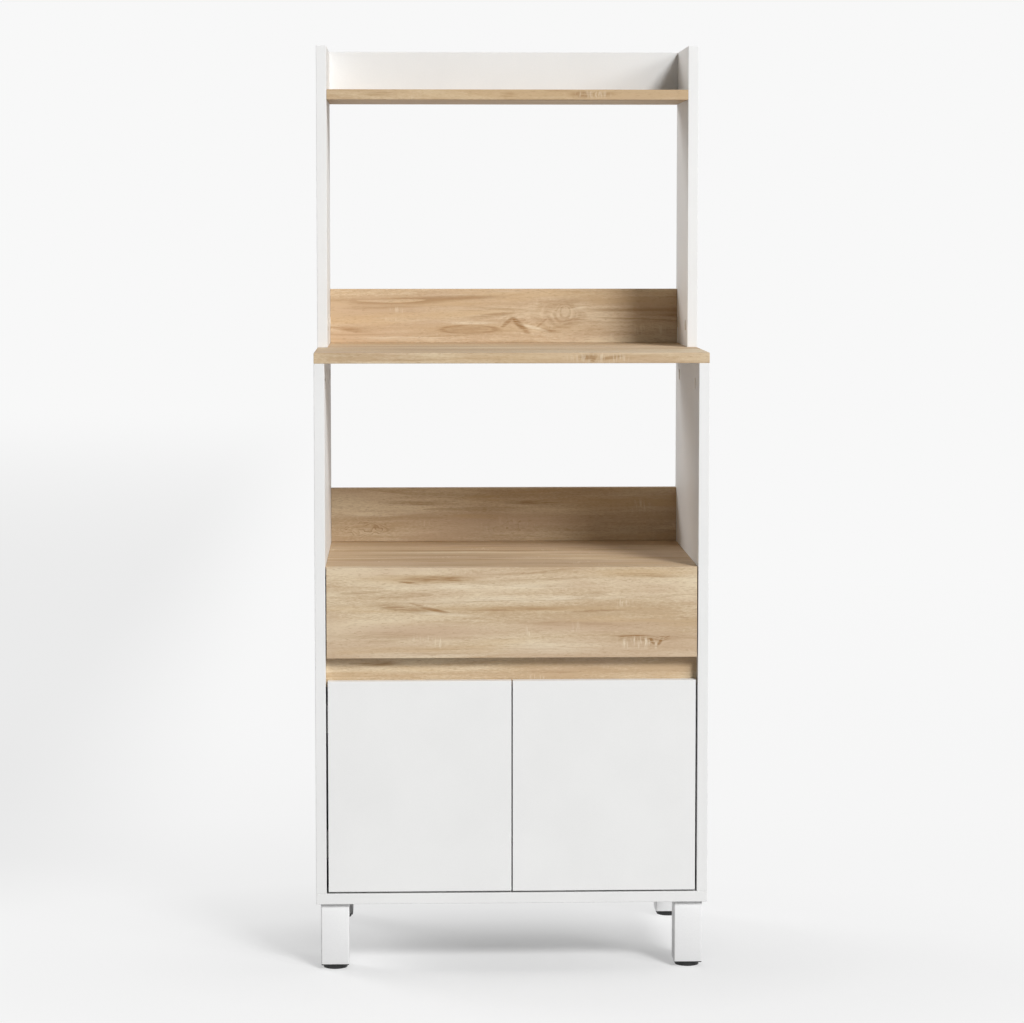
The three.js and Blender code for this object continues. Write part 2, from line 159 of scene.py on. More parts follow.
oakTones = {
    "cream": tone(224, 206, 176), "tan": tone(193, 167, 134), "blush": tone(199, 172, 144),
    "gold": tone(200, 170, 128), "brown": tone(152, 116, 74), "fleck": tone(231, 216, 190),
    "pore": tone(158, 126, 90),
}
# Each layer of the print: repeats in a metre along the grain and across it, detail, roughness, own shift
oakLayers = {
    "drift": (1.8, 8, 2, 0.5, 0), "bands": (2.2, 24, 3, 0.5, 1), "strokes": (11, 150, 4, 0.65, 3),
    "fibre": (140, 620, 3, 0.7, 5), "blush": (3.2, 15, 3, 0.55, 7), "gold": (2.6, 34, 3, 0.6, 9),
    "growth": (1.2, 26, 2, 0.4, 11), "growthPatches": (3.5, 30, 2, 0.6, 13),
    "dashes": (20, 560, 3, 0.7, 15), "bars": (300, 30, 2, 0.55, 17), "barPatches": (16, 36, 1, 0.5, 19),
    "curl": (34, 60, 1, 0.5, 21), "sway": (40, 55, 1, 0.5, 23), "warp": (22, 40, 3, 0.6, 25),
    "pores": (110, 1000, 2, 0.6, 27), "fineWarp": (60, 90, 1, 0.5, 29), "breaks": (55, 120, 2, 0.6, 31),
    "wobble": (30, 45, 2, 0.5, 33),
}
# The value at which a layer starts to show, and at which it shows fully
oakWindows = {
    "shade": (0.37, 0.61), "blush": (0.46, 0.64), "gold": (0.5, 0.68), "growthLines": (0.55, 1.0),
    "growthPatches": (0.44, 0.62), "dashes": (0.4, 0.58), "coils": (0.45, 1.0), "coilGlints": (0.35, 0.0),
    "breaks": (0.38, 0.56), "bars": (0.5, 0.66), "barPatches": (0.62, 0.74), "pores": (0.56, 0.7),
}
oakStrengths = {"blush": 0.55, "gold": 0.5, "coilGlints": 0.35, "barPatches": 0.35, "pores": 0.42}
# How much of a mark's oval shows fully, before the mark fades towards the oval's edge
oakCores = {"burl": 0.3, "tint": 0.1, "streak": 0.2, "coils": 0.4, "eye": 0.5, "fleck": 0.3}
# What the dashes leave of a mark between them, and what they add to it
oakDashes = {"streak": (0.3, 0.7), "eyeRim": (0.4, 0.6), "eye": (0.45, 0.35)}
oakShape = {
    "drift": 30 * mm, "growthLines": 9.0, "burlSway": 1.6, "coilWarp": 1.1, "rimReach": 0.85, "rimWidth": 0.3,
    "gloss": (0.52, 0.68), "relief": 0.08 * mm, "fibreRelief": 0.6, "poreRelief": -0.7,
}


# Distance from an oval's centre, counted in its own half-widths; slant tips the oval
def ovalReach(tree, along, across, oval, slant=0.0):
    x, level, halfLong, halfWide = oval
    out = calc(tree, "SUBTRACT", along, x)
    rise = calc(tree, "MULTIPLY_ADD", out, -slant, calc(tree, "SUBTRACT", across, level))
    u = calc(tree, "DIVIDE", out, halfLong)
    v = calc(tree, "DIVIDE", rise, halfWide)
    return calc(tree, "SQRT", calc(tree, "ADD", calc(tree, "MULTIPLY", u, u), calc(tree, "MULTIPLY", v, v)))


# Printed oak. Lines run along the axis named by grain and change across the other two, so they turn a board's
# edge. A mark's level is the sum of its places on those other two, less face.
def oakFinish(name, grain, seed, face, lift=0.0, mix=(0.85, 0.4, 0.46), rings=0.3,
              burls=(), tints=(), streaks=(), eyes=(), flecks=()):
    material, tree, shader, place = startFinish("oak_" + name, Specular_IOR_Level=0.3)
    parts = addNode(tree, "SeparateXYZ", {0: place}).outputs
    along = parts["XYZ".index(grain)]
    level = calc(tree, "SUBTRACT", calc(tree, "ADD", *[part for part in parts if part != along]), face)

    def noise(layer, first, second):
        alongRepeats, acrossRepeats, detail, roughness, shift = oakLayers[layer]
        vector = combine(tree, calc(tree, "MULTIPLY", first, alongRepeats),
                         calc(tree, "MULTIPLY", second, acrossRepeats), seed + shift)
        return cloud(tree, vector, detail, roughness)

    def straight(layer):  # not curled by the burls
        return noise(layer, along, level)

    def centred(layer):
        return calc(tree, "SUBTRACT", straight(layer), 0.5)

    def windowed(window, value):
        return fade(tree, value, *oakWindows[window])

    def inside(kind, oval, slant=0.0):
        return fade(tree, ovalReach(tree, along, level, oval, slant), 1.0, oakCores[kind])

    def times(*values):
        product = values[0]
        for value in values[1:]:
            product = calc(tree, "MULTIPLY", product, value)
        return product

    def greater(first, second):
        return calc(tree, "MAXIMUM", first, second)

    across = calc(tree, "MULTIPLY_ADD", centred("drift"), oakShape["drift"], level)
    bent = along
    for burl in burls:  # the lines curl up here
        hold = inside("burl", burl[:4])
        curl = burl[4]
        across = calc(tree, "ADD", across, times(hold, centred("curl"), curl))
        bent = calc(tree, "ADD", bent, times(hold, centred("sway"), curl * oakShape["burlSway"]))

    def curled(layer):
        return noise(layer, bent, across)

    def shown(layer):
        return windowed(layer, curled(layer))

    bandShare, strokeShare, fibreShare = mix
    strokes = curled("strokes")
    fibre = curled("fibre")
    fine = calc(tree, "MULTIPLY_ADD", strokes, strokeShare, times(fibre, fibreShare))
    shade = calc(tree, "MULTIPLY_ADD", curled("bands"), bandShare, fine)
    shade = calc(tree, "ADD", shade, 0.5 - sum(mix) / 2 + lift)  # its middle lies at 0.5 and lift
    darkest, lightest = oakWindows["shade"]
    colour = rampOf(tree, shade, [(darkest, oakTones["tan"]), (lightest, oakTones["cream"])])
    blush = times(shown("blush"), oakStrengths["blush"])
    gold = times(shown("gold"), oakStrengths["gold"])
    for *oval, strength in tints:
        if strength > 0:
            blush = greater(blush, times(inside("tint", oval), strength))
        else:
            gold = greater(gold, times(inside("tint", oval), -strength))
    colour = mixTones(tree, blush, colour, oakTones["blush"])
    colour = mixTones(tree, gold, colour, oakTones["gold"])

    # growth lines: thin contours of a slow wave, with a sharp and a soft side
    growth = calc(tree, "FRACT", times(curled("growth"), oakShape["growthLines"]))
    brown = times(windowed("growthLines", growth), shown("growthPatches"), rings)
    dashes = shown("dashes")
    glint = 0.0

    def dashed(kind):
        left, added = oakDashes[kind]
        return calc(tree, "MULTIPLY_ADD", dashes, added, left)

    for *oval, strength, slant in streaks:
        drawn = times(inside("streak", oval, slant), dashed("streak"), abs(strength))
        if strength > 0:
            brown = greater(brown, drawn)
        else:
            glint = greater(glint, drawn)
    for burl in burls:
        oval = burl[:4]
        strength, coilCount = burl[5:]
        warp = calc(tree, "ADD", straight("warp"), straight("fineWarp"))
        reach = calc(tree, "ADD", ovalReach(tree, along, level, oval), times(warp, oakShape["coilWarp"]))
        coils = calc(tree, "FRACT", times(reach, coilCount))
        hold = times(inside("coils", oval), strength)
        brown = greater(brown, times(hold, windowed("coils", coils), windowed("breaks", straight("breaks"))))
        glint = greater(glint, times(hold, windowed("coilGlints", coils), oakStrengths["coilGlints"]))
    for *oval, strength, fill, sway in eyes:
        swayed = calc(tree, "MULTIPLY_ADD", straight("wobble"), sway, -sway / 2)
        reach = calc(tree, "ADD", ovalReach(tree, along, level, oval), swayed)
        fromRim = calc(tree, "ABSOLUTE", calc(tree, "SUBTRACT", reach, oakShape["rimReach"]))
        rim = times(fade(tree, fromRim, oakShape["rimWidth"], 0.0), dashed("eyeRim"))
        core = times(inside("eye", oval), dashed("eye"), fill)
        brown = greater(brown, times(greater(rim, core), strength))
    colour = mixTones(tree, brown, colour, oakTones["brown"])

    # ray flecks: short light bars across the grain
    bars = shown("bars")
    lit = greater(glint, times(bars, shown("barPatches"), oakStrengths["barPatches"]))
    for *oval, strength in flecks:
        lit = greater(lit, times(inside("fleck", oval), bars, strength))
    colour = mixTones(tree, lit, colour, oakTones["fleck"])
    pores = shown("pores")
    colour = mixTones(tree, times(pores, oakStrengths["pores"]), colour, oakTones["pore"])

    relief = calc(tree, "MULTIPLY_ADD", fibre, oakShape["fibreRelief"], strokes)
    relief = calc(tree, "MULTIPLY_ADD", pores, oakShape["poreRelief"], relief)
    joinUp(tree, shader, colour, fibre, oakShape["gloss"], relief, oakShape["relief"])
    return material


whiteFace = plainFinish("white_face", tone(240, 240, 239), tone(236, 236, 235),
                        grainSize=1.1 * mm, tooth=0.03 * mm, gloss=(0.5, 0.62), Specular_IOR_Level=0.45)
whiteBand = plainFinish("white_band", tone(239, 239, 238), tone(234, 234, 233),
                        grainSize=0.7 * mm, tooth=0.02 * mm, gloss=(0.46, 0.56), Specular_IOR_Level=0.45)
# painted shade: a darker copy of the white face for the top rail, which keeps its brightly lit corner from
# burning out
railFacePaintedShade = plainFinish("white_rail_painted_shade", tone(232, 233, 233), tone(228, 229, 229),
                       grainSize=1.1 * mm, tooth=0.03 * mm, gloss=(0.5, 0.62), Specular_IOR_Level=0.45)
hardboardWhite = plainFinish("hardboard_white", tone(234, 232, 227), tone(228, 226, 220),
                             grainSize=1.4 * mm, tooth=0.06 * mm, gloss=(0.5, 0.62))
hardboardRaw = plainFinish("hardboard_raw", tone(178, 142, 102), tone(162, 126, 88),
                           grainSize=1.8 * mm, tooth=0.15 * mm, gloss=(0.75, 0.9))
legPaint = plainFinish("leg_paint", tone(239, 239, 239), tone(235, 235, 235),
                       grainSize=1.6 * mm, tooth=0.06 * mm, gloss=(0.3, 0.42))
blackPlastic = plainFinish("black_plastic", tone(34, 34, 35), tone(24, 24, 25),
                           grainSize=0.6 * mm, tooth=0.04 * mm, gloss=(0.4, 0.56))
coverPlastic = plainFinish("cover_plastic", tone(222, 217, 208), tone(212, 206, 196),
                           grainSize=0.6 * mm, tooth=0.03 * mm, gloss=(0.38, 0.5))
runnerPaint = plainFinish("runner_paint", tone(238, 238, 237), tone(231, 231, 230),
                          grainSize=1.2 * mm, tooth=0.06 * mm, gloss=(0.3, 0.42))
nylon = plainFinish("nylon", tone(229, 228, 221), tone(217, 216, 208),
                    grainSize=0.9 * mm, tooth=0.02 * mm, gloss=(0.38, 0.5),
                    Subsurface_Weight=0.2, Subsurface_Scale=2 * mm)
softBuffer = plainFinish("soft_buffer", tone(226, 226, 222), tone(212, 212, 207),
                         grainSize=0.8 * mm, tooth=0.02 * mm, gloss=(0.2, 0.3),
                         Subsurface_Weight=0.4, Subsurface_Scale=3 * mm)
nickel = drawnMetal("nickel", tone(214, 213, 210), tone(186, 185, 182),
                    repeats=(900, 60, 900), tooth=0.02 * mm, gloss=(0.22, 0.36))
zincScrew = drawnMetal("zinc_screw", tone(206, 207, 208), tone(170, 171, 173),
                       repeats=(700, 700, 700), tooth=0.03 * mm, gloss=(0.25, 0.4))
print("finishes: whites, hardboard, plastics and metals")

bodyOf = {node: body for body, nodes in frame["record"]["behaviour"]["bodies"].items() for node in nodes}
sharpFrom = 28  # degrees; a smooth piece keeps the edges that turn more than this


def keep(shape, name, finishes, smooth=True):
    bmesh.ops.recalc_face_normals(shape, faces=shape.faces)
    for face in shape.faces:
        face.smooth = smooth
    mesh = bpy.data.meshes.new(name)
    shape.to_mesh(mesh)
    shape.free()
    for finish in finishes:
        mesh.materials.append(finish)
    if smooth:
        mesh.set_sharp_from_angle(angle=math.radians(sharpFrom))
    piece = bpy.data.objects.new(name, mesh)
    bpy.context.scene.collection.objects.link(piece)
    return piece


def attach(piece, node):
    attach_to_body(piece, bodyOf[node])


# Points within mergeWithin become one, faces that turn less than flatWithin one flat face, and edges
# that turn more than easedFrom are eased; angles are in degrees
dressing = {"mergeWithin": 0.004 * mm, "flatWithin": 0.6, "easedFrom": 40}
# How far a piece's corners are cut back
easeOf = {
    "board": 0.7 * mm, "drawerBoard": 0.5 * mm, "oak": 0.8 * mm, "hardboard": 0.2 * mm, "leg": 0.6 * mm,
    "glide": 0.5 * mm, "runner": 0.25 * mm, "roller": 0.6 * mm, "hinge": 0.12 * mm, "bumper": 0.4 * mm,
}


# A node's own solid with its corners eased, so that they catch the light
def dressNode(node, finishes, ease, steps=2, pick=None, smooth=False):
    shape = bmesh.new()
    shape.from_mesh(frame["nodes"][node].data)
    bmesh.ops.remove_doubles(shape, verts=shape.verts, dist=dressing["mergeWithin"])
    bmesh.ops.dissolve_limit(shape, angle_limit=math.radians(dressing["flatWithin"]), verts=shape.verts,
                             edges=shape.edges)
    easedFrom = math.radians(dressing["easedFrom"])
    corners = [edge for edge in shape.edges
               if edge.is_manifold and edge.is_convex and edge.calc_face_angle() > easedFrom]
    bmesh.ops.bevel(shape, geom=corners, offset=ease, offset_type="OFFSET", segments=steps, profile=0.5,
                    affect="EDGES", material=-1, clamp_overlap=True)
    shape.normal_update()
    if pick:
        for face in shape.faces:
            face.material_index = pick(face)
    piece = keep(shape, node + "_dressed", finishes, smooth)
    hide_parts(node)
    attach(piece, node)


# How squarely a face has to look along an axis: 1 is straight along it, -1 straight against it
square = {"ends": 0.8, "broadFaces": 0.9, "raw": -0.5}


def pickEnds(axis):  # the second finish goes on the faces at the board's two ends
    return lambda face: 1 if abs(face.normal[axis]) > square["ends"] else 0


def pickBand(node):  # the thin edges of a board take the band, its two broad faces the foil
    low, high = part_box(node)
    size = high - low
    thin = min(range(3), key=lambda axis: size[axis])
    return lambda face: 0 if abs(face.normal[thin]) > square["broadFaces"] else 1


def pickRaw(axis, rawSide):  # every face is raw but the one away from the raw side
    return lambda face: 1 if face.normal[axis] * rawSide > square["raw"] else 0


# White boards
whiteBoards = ["bottom_panel", "lower_side_left", "lower_side_right", "upper_side_left", "upper_side_right",
               "top_back_rail", "door_left", "door_right"]
drawerBoards = ["drawer_side_left", "drawer_side_right", "drawer_back"]
for node in whiteBoards:
    broadFinish = railFacePaintedShade if node == "top_back_rail" else whiteFace
    dressNode(node, [broadFinish, whiteBand], easeOf["board"], pick=pickBand(node))
for node in drawerBoards:
    dressNode(node, [whiteFace, whiteBand], easeOf["drawerBoard"], pick=pickBand(node))
print("white boards:", len(whiteBoards) + len(drawerBoards))

# Oak boards. Every mark starts with its oval: place along the grain, level, half length, half width. Then:
# - for a burl, its curl, strength and number of coils
# - for a tint, its strength, above 0 pinkish and below 0 golden
# - for a streak, its strength, above 0 brown and below 0 light, and its slant
# - for an eye, its strength, fill and sway
# - for a fleck, its strength
oakBoards = {
    "drawer_front": {
        "seed": 3.7, "face": -0.2, "lift": 0.04, "endGrain": "Z",
        "burls": [(0.2187, 0.5085, 0.03, 0.014, 0.012, 0.3, 1.3),
                  (-0.235, 0.521, 0.018, 0.008, 0.004, 0.3, 1.4)],
        "tints": [(-0.14, 0.523, 0.22, 0.022, 0.85), (0.12, 0.53, 0.22, 0.018, 0.75),
                  (0.2, 0.612, 0.13, 0.011, -0.5), (0.0, 0.5575, 0.3, 0.006, -0.4),
                  (-0.15, 0.604, 0.13, 0.01, -0.5)],
        "streaks": [(-0.117, 0.6035, 0.08, 0.008, 0.95, 0.0), (-0.1, 0.6015, 0.045, 0.003, 1.1, 0.03),
                    (-0.16, 0.599, 0.03, 0.003, 0.9, -0.15), (-0.14, 0.5625, 0.03, 0.003, 0.9, -0.3),
                    (-0.178, 0.561, 0.025, 0.003, 0.8, -0.3), (0.19, 0.5145, 0.05, 0.0038, 1.1, 0.0),
                    (-0.165, 0.5585, 0.07, 0.0085, 0.8, -0.12),
                    (-0.12, 0.5565, 0.045, 0.0042, 0.95, -0.2), (0.0, 0.5565, 0.13, 0.0035, 0.6, 0.02),
                    (-0.232, 0.583, 0.05, 0.004, 0.5, 0.05), (0.205, 0.608, 0.07, 0.005, 0.6, -0.03),
                    (0.131, 0.554, 0.06, 0.003, 0.65, 0.02), (0.2, 0.511, 0.075, 0.006, 0.6, 0.0),
                    (-0.05, 0.592, 0.2, 0.006, -0.7, 0.0), (0.02, 0.573, 0.24, 0.008, -0.7, 0.02),
                    (-0.16, 0.487, 0.13, 0.006, -0.6, 0.0), (0.06, 0.499, 0.12, 0.014, -0.55, 0.0),
                    (-0.2, 0.517, 0.12, 0.008, 0.35, 0.0), (0.1, 0.534, 0.14, 0.006, 0.3, -0.03),
                    (-0.1, 0.5495, 0.07, 0.004, -0.6, -0.06), (0.2135, 0.508, 0.008, 0.0065, 1.3, -1.0),
                    (0.2265, 0.507, 0.007, 0.007, 1.3, 1.2), (0.235, 0.5115, 0.01, 0.0035, 1.2, 0.5),
                    (0.205, 0.5125, 0.014, 0.0025, 1.1, -0.1), (0.226, 0.5135, 0.014, 0.002, 1.0, 0.1),
                    (0.2195, 0.501, 0.003, 0.008, -0.6, 0.0), (0.2095, 0.5045, 0.002, 0.007, -0.5, 0.0)],
        "flecks": [(0.027, 0.524, 0.01, 0.012, 1.0), (-0.112, 0.506, 0.009, 0.012, 0.9),
                   (0.19, 0.505, 0.038, 0.0125, 0.85)],
    },
    "finger_rail": {
        "seed": 8.2, "face": -0.182, "lift": -0.04, "endGrain": "Z",
        "streaks": [(-0.204, 0.472, 0.05, 0.006, 0.85, 0.0), (0.06, 0.458, 0.07, 0.003, 0.5, 0.0)],
    },
    "worktop": {
        "seed": 5.4, "face": -0.182, "lift": -0.21, "endGrain": "Y", "mix": (1.5, 0.6, 0.34), "rings": 0.7,
        "streaks": [(-0.08, 0.842, 0.24, 0.014, 0.85, 0.0), (-0.2, 0.715, 0.22, 0.03, 0.5, 0.0),
                    (0.02, 0.838, 0.09, 0.007, 1.2, 0.02), (-0.02, 0.9, 0.2, 0.01, 0.5, 0.0),
                    (0.12, 0.79, 0.16, 0.012, 0.45, -0.02), (-0.1, 0.775, 0.2, 0.01, 0.6, 0.0),
                    (0.1, 0.66, 0.2, 0.014, 0.35, 0.0), (-0.1, 0.813, 0.2, 0.012, -0.5, 0.0)],
    },
    "lower_backsplash": {
        "seed": 12.9, "face": 0.184, "lift": -0.04, "endGrain": "Z",
        "burls": [(-0.228, 0.642, 0.06, 0.017, 0.01, 0.65, 3.4),
                  (0.01, 0.645, 0.06, 0.02, 0.006, 0.3, 2.0)],
        "tints": [(0.0, 0.655, 0.24, 0.022, 0.75)],
        "streaks": [(-0.15, 0.684, 0.065, 0.005, 0.65, -0.03), (0.045, 0.684, 0.07, 0.005, 0.6, 0.0),
                    (-0.2, 0.666, 0.09, 0.006, -0.4, 0.05)],
        "flecks": [(0.218, 0.677, 0.032, 0.015, 0.6)],
    },
    "mid_shelf": {
        "seed": 21.3, "face": -0.2, "lift": -0.05, "endGrain": "Y", "mix": (1.0, 0.45, 0.4),
        "burls": [(0.118, 0.94, 0.024, 0.012, 0.01, 0.3, 1.2)],
        "tints": [(0.05, 0.941, 0.4, 0.014, -0.5)],
        "streaks": [(0.116, 0.941, 0.022, 0.006, 1.0, 0.0), (0.152, 0.9405, 0.035, 0.004, 0.9, 0.14),
                    (0.124, 0.9385, 0.008, 0.005, 0.9, 0.5), (0.19, 0.942, 0.05, 0.004, 0.4, 0.05),
                    (-0.16, 0.937, 0.09, 0.003, 0.5, 0.0)],
        "flecks": [(0.135, 0.9395, 0.07, 0.01, 0.5)],
    },
    "mid_backsplash": {
        "seed": 16.6, "face": 0.184, "lift": -0.07, "mix": (1.25, 0.55, 0.5), "rings": 0.6, "endGrain": "Z",
        "burls": [(0.094, 0.997, 0.05, 0.029, 0.014, 0.25, 2.2),
                  (0.03, 0.984, 0.045, 0.024, 0.014, 0.3, 1.6)],
        "tints": [(0.0, 0.99, 0.6, 0.08, 0.35), (-0.03, 0.972, 0.26, 0.012, -0.3)],
        "streaks": [(-0.248, 0.969, 0.042, 0.005, 0.8, -0.1), (0.0265, 0.9765, 0.023, 0.0095, 1.3, -0.85),
                    (0.125, 0.985, 0.06, 0.003, 0.5, -0.1), (0.01, 1.002, 0.09, 0.004, 0.4, -0.06),
                    (0.062, 0.98, 0.014, 0.004, 0.8, 0.8), (0.12, 1.004, 0.02, 0.003, -0.6, 0.2),
                    (0.006, 0.9815, 0.016, 0.0065, 0.9, 0.75), (0.07, 0.968, 0.03, 0.0045, 0.9, -0.12),
                    (0.05, 0.972, 0.03, 0.004, -1.0, -0.25), (-0.02, 0.992, 0.07, 0.006, 0.6, 0.12),
                    (-0.05, 0.9805, 0.06, 0.0035, -0.7, 0.0), (-0.2, 1.006, 0.09, 0.005, 0.4, 0.02),
                    (-0.16, 0.955, 0.12, 0.005, -0.6, 0.0)],
        "eyes": [(-0.057, 0.9695, 0.05, 0.0075, 0.7, 0.8, 0.2),
                 (0.1, 0.999, 0.009, 0.011, 0.55, 0.3, 0.9), (0.099, 0.998, 0.018, 0.016, 0.5, 0.0, 1.1),
                 (0.096, 0.997, 0.028, 0.021, 0.45, 0.0, 1.2), (0.09, 0.995, 0.04, 0.025, 0.3, 0.0, 1.2)],
        "flecks": [(0.24, 0.968, 0.045, 0.014, 0.6)],
    },
    "top_shelf": {
        "seed": 27.8, "face": 0.0, "lift": -0.14, "endGrain": "Y", "mix": (0.9, 0.45, 0.42),
        "burls": [(0.128, 1.344, 0.034, 0.011, 0.008, 0.3, 1.3)],
        "tints": [(0.0, 1.344, 0.5, 0.02, -0.5)],
        "streaks": [(0.118, 1.3445, 0.03, 0.008, 0.8, 0.0), (0.155, 1.3445, 0.025, 0.005, 0.7, 0.08),
                    (0.0, 1.344, 0.02, 0.006, 0.5, 0.0), (-0.2, 1.345, 0.04, 0.005, 0.45, 0.0)],
        "flecks": [(0.13, 1.3445, 0.05, 0.008, 0.4)],
    },
}
endShift = 1.3  # the end grain starts at its own seed
for node, figure in oakBoards.items():
    marks = {key: value for key, value in figure.items() if key != "endGrain"}
    flat = oakFinish(node, "X", **marks)
    end = oakFinish(node + "_end", figure["endGrain"], figure["seed"] + endShift, figure["face"])
    dressNode(node, [flat, end], easeOf["oak"], pick=pickEnds(0))
print("oak boards:", len(oakBoards))

# Thin hardboard: white in front or on top, raw behind or below
for node, axis, rawSide in [("back_board", 1, 1), ("drawer_bottom", 2, -1)]:
    dressNode(node, [hardboardWhite, hardboardRaw], easeOf["hardboard"], steps=1, pick=pickRaw(axis, rawSide))

# Legs and glides
for corner in ["front_left", "front_right", "rear_left", "rear_right"]:
    dressNode("leg_" + corner, [legPaint], easeOf["leg"], smooth=True)
    dressNode("glide_" + corner, [blackPlastic], easeOf["glide"], smooth=True)
print("hardboard, legs and glides")

# Runners, rollers, hinges and bumpers
for side in ["left", "right"]:
    dressNode("cabinet_runner_" + side, [runnerPaint], easeOf["runner"], steps=1, smooth=True)
    dressNode("drawer_runner_" + side, [runnerPaint], easeOf["runner"], steps=1, smooth=True)
    for end in ["front", "rear"]:
        dressNode(f"roller_{end}_{side}", [nylon], easeOf["roller"], smooth=True)
    for row in ["lower", "upper"]:
        for part in ["cup", "link", "arm"]:
            dressNode(f"hinge_{part}_{row}_{side}", [nickel], easeOf["hinge"], steps=1, smooth=True)
    dressNode("door_bumper_" + side, [softBuffer], easeOf["bumper"], smooth=True)
print("runners, rollers, hinges and bumpers")


def pull(shape, faces, height):  # extrudes the faces and moves them up, or down below 0
    pulled = bmesh.ops.extrude_face_region(shape, geom=faces)["geom"]
    corners = [item for item in pulled if isinstance(item, bmesh.types.BMVert)]
    bmesh.ops.translate(shape, vec=(0, 0, height), verts=corners)


def startDisc(segments, radius, bottom, top):
    shape = bmesh.new()
    bmesh.ops.create_circle(shape, cap_ends=True, segments=segments, radius=radius)
    bmesh.ops.translate(shape, vec=(0, 0, bottom), verts=shape.verts)
    pull(shape, shape.faces[:], top - bottom)
    return shape


def topFace(shape):  # the face with the most corners, and of two such faces the higher
    return max(shape.faces, key=lambda face: (len(face.verts), face.calc_center_median().z))


# Cross-head screws: on the hinge cups' wings, the mounting plates and the arms, and in the runners
screw = {
    "segments": 24, "radius": 3.7 * mm, "skirt": 1.1 * mm, "rim": 0.7 * mm, "innerRim": 0.28 * mm,
    "crown": (0.245 * mm, 0.105 * mm),  # how far the two rings of the dome rise
    "crossHalfLong": 1.8 * mm, "crossHalfWide": 0.48 * mm, "recess": 0.33 * mm,
    "turn": 37,  # degrees from one screw's cross to the next
}
# In from the door's hinge edge, back from its front, and to either side of the middle: up and down, or to the
# front and the back for the screws on the arm
hingeScrews = {
    "fromEnd": 65 * mm,
    "cup": (20.5 * mm, 18.25 * mm, 26 * mm), "plate": (0.25 * mm, 53 * mm, 16 * mm),
    "arm": (10.5 * mm, 68 * mm, 10 * mm),
}
runnerScrews = {
    "size": 0.8, "skirt": 0.3 * mm, "height": 517 * mm, "places": [-130 * mm, 0.0, 125 * mm],
    "channelFace": 282.75 * mm, "trackFace": 272.75 * mm,
}


def crossReach(angle):  # from the middle of the recess to its outline
    near, far = sorted([abs(math.cos(angle)), abs(math.sin(angle))])
    reach = screw["crossHalfLong"] / far
    return min(reach, screw["crossHalfWide"] / near) if near else reach


# spot is the middle of the head where its rounding starts; the head looks along facing
def addScrew(number, spot, facing, node, size=1.0, skirt=screw["skirt"]):
    shape = startDisc(screw["segments"], screw["radius"], -skirt / size, 0.0)
    for rise in screw["crown"]:
        bmesh.ops.inset_region(shape, faces=[topFace(shape)], thickness=screw["rim"], depth=rise)
    bmesh.ops.inset_region(shape, faces=[topFace(shape)], thickness=screw["innerRim"])
    for vert in topFace(shape).verts:
        vert.co.xy = vert.co.xy.normalized() * crossReach(math.atan2(vert.co.y, vert.co.x))
    pull(shape, [topFace(shape)], -screw["recess"])
    place = Matrix.Translation(spot) @ Vector(facing).to_track_quat("Z", "Y").to_matrix().to_4x4()
    turned = Matrix.Rotation(math.radians(screw["turn"] * number), 4, "Z") @ Matrix.Scale(size, 4)
    shape.transform(place @ turned)
    attach(keep(shape, f"screw_{number}", [zincScrew]), node)


screws = []
for side, sign in [("left", -1), ("right", 1)]:
    doorLow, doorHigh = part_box("door_" + side)
    hingeEdge = max(abs(doorLow.x), abs(doorHigh.x))
    heights = {"lower": doorLow.z + hingeScrews["fromEnd"], "upper": doorHigh.z - hingeScrews["fromEnd"]}
    back, inward, outward = (0, 1, 0), (-sign, 0, 0), (sign, 0, 0)
    for row, height in heights.items():
        cup, arm = f"hinge_cup_{row}_{side}", f"hinge_arm_{row}_{side}"
        for end in [-1, 1]:
            for kind, facing, node in [("cup", back, cup), ("plate", inward, arm), ("arm", inward, arm)]:
                fromEdge, fromFront, apart = hingeScrews[kind]
                alongArm, alongEdge = (end * apart, 0) if kind == "arm" else (0, end * apart)
                spot = (sign * (hingeEdge - fromEdge), doorLow.y + fromFront + alongArm, height + alongEdge)
                screws.append((spot, facing, node))
    size, skirt = runnerScrews["size"], runnerScrews["skirt"]
    channelX = sign * (runnerScrews["channelFace"] - skirt)
    trackX = sign * (runnerScrews["trackFace"] + skirt)
    for y in runnerScrews["places"]:
        for x, facing, part in [(channelX, inward, "cabinet_runner_"), (trackX, outward, "drawer_runner_")]:
            screws.append(((x, y, runnerScrews["height"]), facing, part + side, size, skirt))
for number, placing in enumerate(screws, 1):
    addScrew(number, *placing)
print("screws:", len(screws))

# Cam covers: a flat cap with a rounded rim and a shallow dimple to lift it by
camCover = {
    "segments": 40, "rim": 0.3 * mm, "dimple": 2.2 * mm, "dimpleWall": 0.66 * mm, "dimpleDepth": 0.25 * mm,
    "outer": 0.95,  # share of the radius, and of the thickness, past which a point belongs to the rim
}


def addCover(node, inward):
    low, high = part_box(node)
    middle = (low + high) / 2
    radius = (high.z - low.z) / 2
    thickness = high.x - low.x
    shape = startDisc(camCover["segments"], radius, 0.0, thickness)
    bmesh.ops.inset_region(shape, faces=[topFace(shape)], thickness=radius - camCover["dimple"])
    bmesh.ops.inset_region(shape, faces=[topFace(shape)], thickness=camCover["dimpleWall"],
                           depth=-camCover["dimpleDepth"])
    rimHeight, rimReach = thickness * camCover["outer"], radius * camCover["outer"]
    rim = [edge for edge in shape.edges
           if all(vert.co.z > rimHeight and vert.co.xy.length > rimReach for vert in edge.verts)]
    bmesh.ops.bevel(shape, geom=rim, offset=camCover["rim"], segments=2, profile=0.5, affect="EDGES",
                    material=-1, offset_type="OFFSET")
    boardFace = Matrix.Translation((low.x if inward > 0 else high.x, middle.y, middle.z))
    shape.transform(boardFace @ Matrix.Rotation(math.radians(90 * inward), 4, "Y"))
    piece = keep(shape, node + "_cap", [coverPlastic])
    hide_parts(node)
    attach(piece, node)


